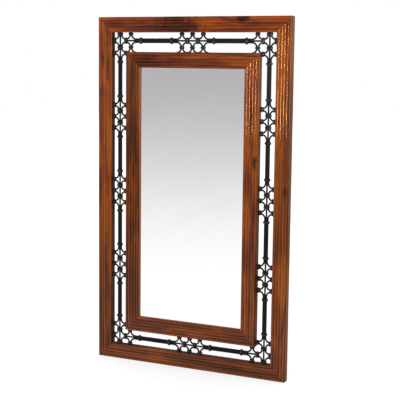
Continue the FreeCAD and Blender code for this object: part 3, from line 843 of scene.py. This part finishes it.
# %% [markdown]
# ## Spines, bars and rings
# Each piece below stands for one piece of the CAD model. A bar is two hooked rods on either side of the
# spine, a cluster is four rings, and the two upright spines run through while the level ones stop short
# at the crossings. The skin stands a little proud of the bare rod, for the coats of black wax.

# %% Forge them
BLACKING, ROD_STEP, HAMMERING = 0.5 * MM, 2.7 * MM, 0.08 * MM
BEND_SLACK, HOOK_END, IN_COLLAR = 0.005 * MM, 0.01 * MM, 4.9 * MM


def forge(label, ending, paths, closed=False):
    """Forge one piece from its corner points."""
    points, edges = [], []
    for bends in paths:
        base, count = len(points), len(bends)
        points += [tuple(p) for p in bends]
        edges += [(base + i, base + (i + 1) % count) for i in range(count if closed else count - 1)]
    wire = bpy.data.meshes.new("forged_" + label)
    wire.from_pydata(points, edges, [])
    piece = grow("forged_" + label, wire, forging, {"Rod Radius": ROD + BLACKING, "Bend Radius": RING,
                                                    "Step": ROD_STEP, "Hammering": HAMMERING, "Iron": iron})
    return settle(piece, "black_iron", "jali_" + label + ending)


def forge_rings(label, places):
    """Forge rings round these places. A ring starts as a square."""
    half = RING + BEND_SLACK
    forge(label, "_rings", [[place + Vector((sx * half, 0, sz * half)) for sx, sz in FOUR_WAYS]
                            for place in places], True)


def hook_path(side, start, end, row):
    """Corner points of one hooked rod, on one side of the spine."""
    near, far = row * BESIDE, row * (BESIDE + 2 * RING)
    flat = [(start + HOOK_END, far), (start - RING, far), (start - RING, near)]
    flat += [(end + RING, near), (end + RING, far), (end - HOOK_END, far)]
    return [on_band(side, along, out) for along, out in flat]


for side in SIDES:
    for i, (start, end) in enumerate(bars_of(side), 1):
        forge("%s_bar_%d" % (side, i), "_rods", [hook_path(side, start, end, row) for row in (1, -1)])
    for i, middle in enumerate(stations_of(side)[1:-1], 1):
        forge_rings("%s_cluster_%d" % (side, i), [on_band(side, middle + a * RING_STEP / 2, n * RING_ROW)
                                                  for a in BOTH for n in BOTH])
    if side in UPRIGHT:
        runs = [(-CROSS_Z - REACH, CROSS_Z + REACH)]
    else:
        inner, outer = CROSS_X - RING_ROW + IN_COLLAR, CROSS_X + RING_ROW - IN_COLLAR
        runs = [(-CROSS_X - REACH, -outer), (-inner, inner), (outer, CROSS_X + REACH)]
    forge(side + "_spine", "", [[on_band(side, a, 0), on_band(side, b, 0)] for a, b in runs])
for corner, signs in CORNERS.items():
    forge_rings(corner + "_corner", [crossing(*signs) + Vector((a * RING_ROW, 0, b * RING_ROW))
                                     for a in BOTH for b in BOTH])

# %% [markdown]
# ## Collars and beads
# The rods and rings are not welded. A smith wraps hot collars round them, which look like small barrels.
# There are three sizes, so three blanks are modelled, and a recipe sets a blank on every point of a sketch.
# Each point carries its own turn, and a little random tilt keeps the hand-set look.

# %% The setting recipe
setting, size = recipe("set on points", {"Blank": bpy.types.Object, "Tilt": float, "Spin": float,
                                         "Seed": int, "Finish": bpy.types.Material})


def chance(limit, salt):
    """A random number between minus the limit and the limit, different for each point."""
    return put("FunctionNodeRandomValue", {2: times(limit, -1.0), 3: limit, 8: plus(size["Seed"], salt)})[1]


blank_shape = put("GeometryNodeObjectInfo", {0: size["Blank"]})["Geometry"]
turned = geo("InputNamedAttribute", {"Name": "turn"}, data_type="FLOAT")
spun = plus(turned, chance(size["Spin"], 1))
leaning = point(chance(size["Tilt"], 2), spun, chance(size["Tilt"], 3))
set_points = geo("InstanceOnPoints", {0: geo("MeshToPoints", {0: size["Sketch"]}), "Instance": blank_shape,
                                      "Rotation": leaning})
serve(set_points, size["Finish"])
print("setting recipe nodes:", len(setting.nodes))

# %% [markdown]
# A barrel is a stack of hoops. Each hoop is a slot, two half circles with straight sides, because a collar
# holds rods that lie side by side. The hoops swell steeply at the lips and hardly at all in the middle,
# like a band that was hammered round hot.

# %% Model the three barrels
LIP, SWELL_POWER, HALF_STEPS = 1.4 * MM, 3.5, 8
HOOPS = (-1.0, -0.92, -0.78, -0.5, 0.0, 0.5, 0.78, 0.92, 1.0)


def ribbon(shape, first, second, smooth=True):
    """Faces between two loops of points."""
    for i in range(len(first)):
        j = (i + 1) % len(first)
        shape.faces.new((first[i], first[j], second[j], second[i])).smooth = smooth


def barrel(name, half_span, wall, length):
    """A collar blank: rods run along X, side by side along Z, and the sides swell to a soft ridge."""
    shape = bmesh.new()
    hoops = []
    for t in HOOPS:
        swell = ROD + BLACKING + LIP + (wall - LIP) * (1 - abs(t) ** SWELL_POWER)
        hoop = []
        for end in (1, -1):
            for step in range(HALF_STEPS):
                angle = (step / (HALF_STEPS - 1)) * math.pi + (0 if end == 1 else math.pi)
                hoop.append(shape.verts.new((t * length / 2, swell * math.cos(angle),
                                             end * half_span + swell * math.sin(angle))))
        hoops.append(hoop)
    for first, second in zip(hoops, hoops[1:]):
        ribbon(shape, first, second)
    shape.faces.new(hoops[0])
    shape.faces.new(hoops[-1])
    return stand_shape(shape, name)


bar_blank = barrel("bar_collar_blank", BESIDE, 3.4 * MM, 8.4 * MM)
spine_blank = barrel("spine_collar_blank", BESIDE, 3.0 * MM, 9.8 * MM)
bead_blank = barrel("side_bead_blank", RING_STEP / 2 - RING, 3.4 * MM, 9.0 * MM)
print("faces on a barrel:", len(bead_blank.data.polygons))

# %% [markdown]
# The sketch for the recipe is one point for each collar. Bar collars sit near the ends of each bar, spine
# collars clamp two rings to the spine, and side beads clamp ring to ring or ring to hook. Each row has its
# own seed, so no two rows tilt alike and every run gives the same collars.

# %% Set the collars
TILT = math.radians(2.5)
SET_IN_LEVEL, SET_IN_UPRIGHT = 19.3 * MM, 10.8 * MM
NEXT_BEAD = RING_ROW + RING_STEP / 2


def set_out(name, slot, node, blank, finish, places, tilt, spin, seed):
    """Set a blank at each (place, turn) and put the result in the place of a CAD node."""
    sketch = bpy.data.meshes.new(name)
    sketch.from_pydata([tuple(place) for place, turn in places], [], [])
    turns = sketch.attributes.new("turn", "FLOAT", "POINT")
    for i, (place, turn) in enumerate(places):
        turns.data[i].value = turn
    piece = grow(name, sketch, setting, {"Blank": blank, "Tilt": tilt, "Spin": spin, "Seed": seed,
                                         "Finish": finish})
    return settle(piece, slot, node)


def set_collars(name, blank, places, seed):
    """Set filed collars with a little tilt."""
    set_out(name, "black_iron", "jali_" + name, blank, filed_iron, places, TILT, TILT / 2, seed)


for number, side in enumerate(SIDES):
    angle = math.radians(SIDES[side])
    set_in = SET_IN_UPRIGHT if side in UPRIGHT else SET_IN_LEVEL
    middles = stations_of(side)[1:-1]
    ends = [on_band(side, s, 0) for start, end in bars_of(side) for s in (start + set_in, end - set_in)]
    rows = [on_band(side, m + a * RING_STEP / 2, 0) for m in middles for a in BOTH]
    beads = [on_band(side, m + a * RING_STEP, n * RING_ROW) for m in middles for a in (-1, 0, 1)
             for n in BOTH]
    set_collars(side + "_bar_collars", bar_blank, [(p, angle) for p in ends], number)
    set_collars(side + "_spine_collars", spine_blank, [(p, angle) for p in rows], number + 10)
    set_collars(side + "_side_beads", bead_blank, [(p, angle + QUARTER) for p in beads], number + 20)
corner_collars, corner_beads = [], []
for sx, sz in CORNERS.values():
    cross = crossing(sx, sz)
    for row in (-RING_ROW, RING_ROW):
        corner_collars += [(cross + Vector((row, 0, 0)), 0.0), (cross + Vector((0, 0, row)), QUARTER)]
        corner_beads += [(cross + Vector((-sx * NEXT_BEAD, 0, row)), QUARTER),
                         (cross + Vector((row, 0, -sz * NEXT_BEAD)), 2 * QUARTER)]
set_collars("corner_spine_collars", spine_blank, corner_collars, 31)
set_collars("corner_side_beads", bead_blank, corner_beads, 32)
for blank in (bar_blank, spine_blank, bead_blank):
    bpy.data.objects.remove(blank)

# %% [markdown]
# ## Screws
# The backing board and the hanger plates are held by small countersunk screws with cross slots. The blank
# is a round head with a sunk cross, a cone below it and a plain shank that is hidden in the wood.

# %% Model the screw blanks
ROUND, SHARP_ON_SCREW = 24, math.radians(35)
CROSS_ARM, CROSS_SLIT, CROSS_DEPTH, CROSS_TAPER = 0.62, 0.15, 0.5, 0.7


def screw_blank(name, shank, head, length):
    """A countersunk screw along Y: its head is flush with y = 0 and its point is towards -Y."""
    shape = bmesh.new()
    turns = [2 * i * math.pi / ROUND for i in range(ROUND)]
    rim = [(head * math.cos(turn), head * math.sin(turn)) for turn in turns]
    arm, slit = CROSS_ARM * head, CROSS_SLIT * head
    cross = [(u * c - v * s, u * s + v * c) for c, s in ((1, 0), (0, 1), (-1, 0), (0, -1))
             for u, v in ((arm, -slit), (arm, slit), (slit, slit))]
    loops = [[shape.verts.new((x, 0, z)) for x, z in outline] for outline in (rim, cross)]
    border = [shape.edges.new((v[i], v[(i + 1) % len(v)])) for v in loops for i in range(len(v))]
    bmesh.ops.triangle_fill(shape, edges=border, use_beauty=True)
    sunk_loop = [shape.verts.new((CROSS_TAPER * x, -CROSS_DEPTH * head, CROSS_TAPER * z)) for x, z in cross]
    ribbon(shape, loops[1], sunk_loop, False)
    shape.faces.new(sunk_loop)
    above = loops[0]
    for y in (shank - head, 2 * shank - length):
        below = [shape.verts.new((x / head * shank, y, z / head * shank)) for x, z in rim]
        ribbon(shape, above, below)
        above = below
    tip = shape.verts.new((0, -length, 0))
    for i in range(ROUND):
        shape.faces.new((above[i], above[(i + 1) % ROUND], tip)).smooth = True
    bmesh.ops.recalc_face_normals(shape, faces=shape.faces)
    for edge in shape.edges:
        edge.smooth = len(edge.link_faces) == 2 and edge.calc_face_angle() < SHARP_ON_SCREW
    return stand_shape(shape, name)


board_screw = screw_blank("board_screw_blank", 1.5 * MM, 2.8 * MM, 12 * MM)
hanger_screw = screw_blank("hanger_screw_blank", 1.75 * MM, 3.3 * MM, 13 * MM)
print("faces on a screw:", len(board_screw.data.polygons))

# %% [markdown]
# ## Zinc-plated steel
# Screws and hanger plates are bright zinc. Plating is a metal with a slight blue-yellow bloom, fine rolling
# lines and a few dull patches, so both the colour and the roughness wander.

# %% The zinc finish
BLUE_ZINC, YELLOW_ZINC, DULL_ZINC = (0.50, 0.52, 0.55, 1), (0.62, 0.60, 0.53, 1), (0.36, 0.36, 0.37, 1)
zinc, surface, spot = new_finish("zinc_plate")
bloom = noise(spot, 120.0, 3.0)
lines = streaks(spot, 40.0, 2600.0, 2.0, 0.0)
tint = blend(ramp(bloom, 0.38, 0.64), BLUE_ZINC, YELLOW_ZINC)
tint = blend(ramp(lines, 0.62, 0.42, 0.0, 0.35), tint, DULL_ZINC)
fill(surface, {"Base Color": tint, "Roughness": ramp(bloom, 0.35, 0.66, 0.28, 0.48), "Metallic": 0.9,
               "Normal": bump(lines, 0.15, 0.0002)})
print("zinc ready")

# %% [markdown]
# The setting recipe places the screws too: twelve round the board and two in each hanger plate. Each is
# turned by chance, because nobody lines up the slots on a back.

# %% Drive the screws
BOARD_ROW_X, BOARD_ROW_Z, BOARD_BACK = 210.5 * MM, 449.5 * MM, -9.5 * MM
ALONG_ENDS, ALONG_SIDES = (-97.75, 97.75), (-325.875, -108.625, 108.625, 325.875)
PLATE_SCREWS = (-16 * MM, 16 * MM)
spots = [(x * MM, sz * BOARD_ROW_Z) for sz in BOTH for x in ALONG_ENDS]
spots += [(sx * BOARD_ROW_X, z * MM) for sx in BOTH for z in ALONG_SIDES]
on_board = [(INNER_MIDDLE + Vector((x, BOARD_BACK, z)), 0.0) for x, z in spots]
on_plates = [(Vector((x + a, 0, HANGER_Z)), 0.0) for x in HANGER_X for a in PLATE_SCREWS]
set_out("board_screws", "plated_steel", "backing_screws", board_screw, zinc, on_board, 0.0, math.pi, 41)
set_out("plate_screws", "plated_steel", "hanger_screws", hanger_screw, zinc, on_plates, 0.0, math.pi, 42)
for blank in (board_screw, hanger_screw):
    bpy.data.objects.remove(blank)

# %% [markdown]
# ## Mirror glass
# The glass, the board and the tongues are solids of the right shape already, so only their finishes change.
# The glass is silvered: a perfectly smooth metal-like surface, whose tint wanders a little and whose face
# has the faint swell of real plate.

# %% The silvered glass
SILVER, PALE_SILVER = (0.965, 0.968, 0.966, 1), (0.985, 0.987, 0.986, 1)
glass, surface, spot = new_finish("silvered_glass")
wander = streaks(mapped(spot, Rotation=(0, 0.6, 0)), 3.0, 14.0, 4.0, 1.2)
fill(surface, {"Base Color": blend(ramp(wander, 0.35, 0.70), SILVER, PALE_SILVER), "Roughness": 0.0,
               "Metallic": 1.0, "Normal": bump(noise(spot, 6.0, 1.0), 0.3, 0.0003)})
print("glass ready")

# %% [markdown]
# ## Backing board and tongues
# The board is pressed hardboard: brown fibre with paler and darker patches, and the print of a wire mesh on
# its back, which two crossed waves give. The tongues hidden in the mitres are plain raw wood, with the
# grain running across the joint. Then each of the six solids gets its finish, in the slot it already has.

# %% The hardboard and the raw wood
BOARD_DARK, BOARD_PALE = (0.074, 0.037, 0.018, 1), (0.166, 0.093, 0.046, 1)
BOARD_PATCH, BOARD_PRINT = (0.102, 0.054, 0.027, 1), (0.045, 0.022, 0.012, 1)
RAW_DARK, RAW_PALE = (0.20, 0.11, 0.05, 1), (0.36, 0.23, 0.12, 1)
board, surface, spot = new_finish("hardboard")
fibre, patch = noise(spot, 260.0, 6.0), noise(spot, 9.0, 3.0)
mesh_print = times(*[put("ShaderNodeTexWave", {"Vector": spot, "Scale": 160.0}, bands_direction=axis)["Fac"]
                     for axis in ("X", "Z")])
tint = blend(ramp(fibre, 0.32, 0.68), BOARD_DARK, BOARD_PALE)
tint = blend(ramp(patch, 0.38, 0.62, 0.0, 0.45), tint, BOARD_PATCH)
tint = blend(ramp(mesh_print, 0.1, 0.8, 0.35, 0.0), tint, BOARD_PRINT)
fill(surface, {"Base Color": tint, "Roughness": ramp(fibre, 0.3, 0.7, 0.62, 0.86),
               "Normal": bump(plus(mesh_print, times(fibre, 0.4)), 0.5, 0.0005)})
raw_wood, surface, spot = new_finish("raw_tongue_wood")
grain = streaks(mapped(spot, Rotation=(0, 0.785, 0)), 20.0, 600.0, 3.0, 0.4)
fill(surface, {"Base Color": blend(ramp(grain, 0.35, 0.65), RAW_DARK, RAW_PALE),
               "Roughness": ramp(grain, 0.3, 0.7, 0.55, 0.75), "Normal": bump(grain, 0.2, 0.0003)})
FINISHES = {"mirror_glass": glass, "backing_board": board, "keyhole_hanger_left": zinc,
            "keyhole_hanger_right": zinc, "outer_mitre_tongues": raw_wood, "inner_mitre_tongues": raw_wood}
for node, finish in FINISHES.items():
    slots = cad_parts[node].material_slots
    for place in slots:
        place.material = finish
    print(node, "has", finish.name, "in", len(slots), "slot")

# %% [markdown]
# ## A flag for the lamp
# A photographer keeps a lamp out of a mirror with a small black card, called a flag. Light linking does the
# same here: the glass is listed as the one piece that the lamp doesn't reach, so it never shows in it.

# %% Keep the lamp off the glass
flagged = bpy.data.collections.new("kept_from_the_lamp")
flagged.objects.link(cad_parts["mirror_glass"])
flagged.collection_objects[0].light_linking.link_state = "EXCLUDE"
soft_box.light_linking.receiver_collection = flagged
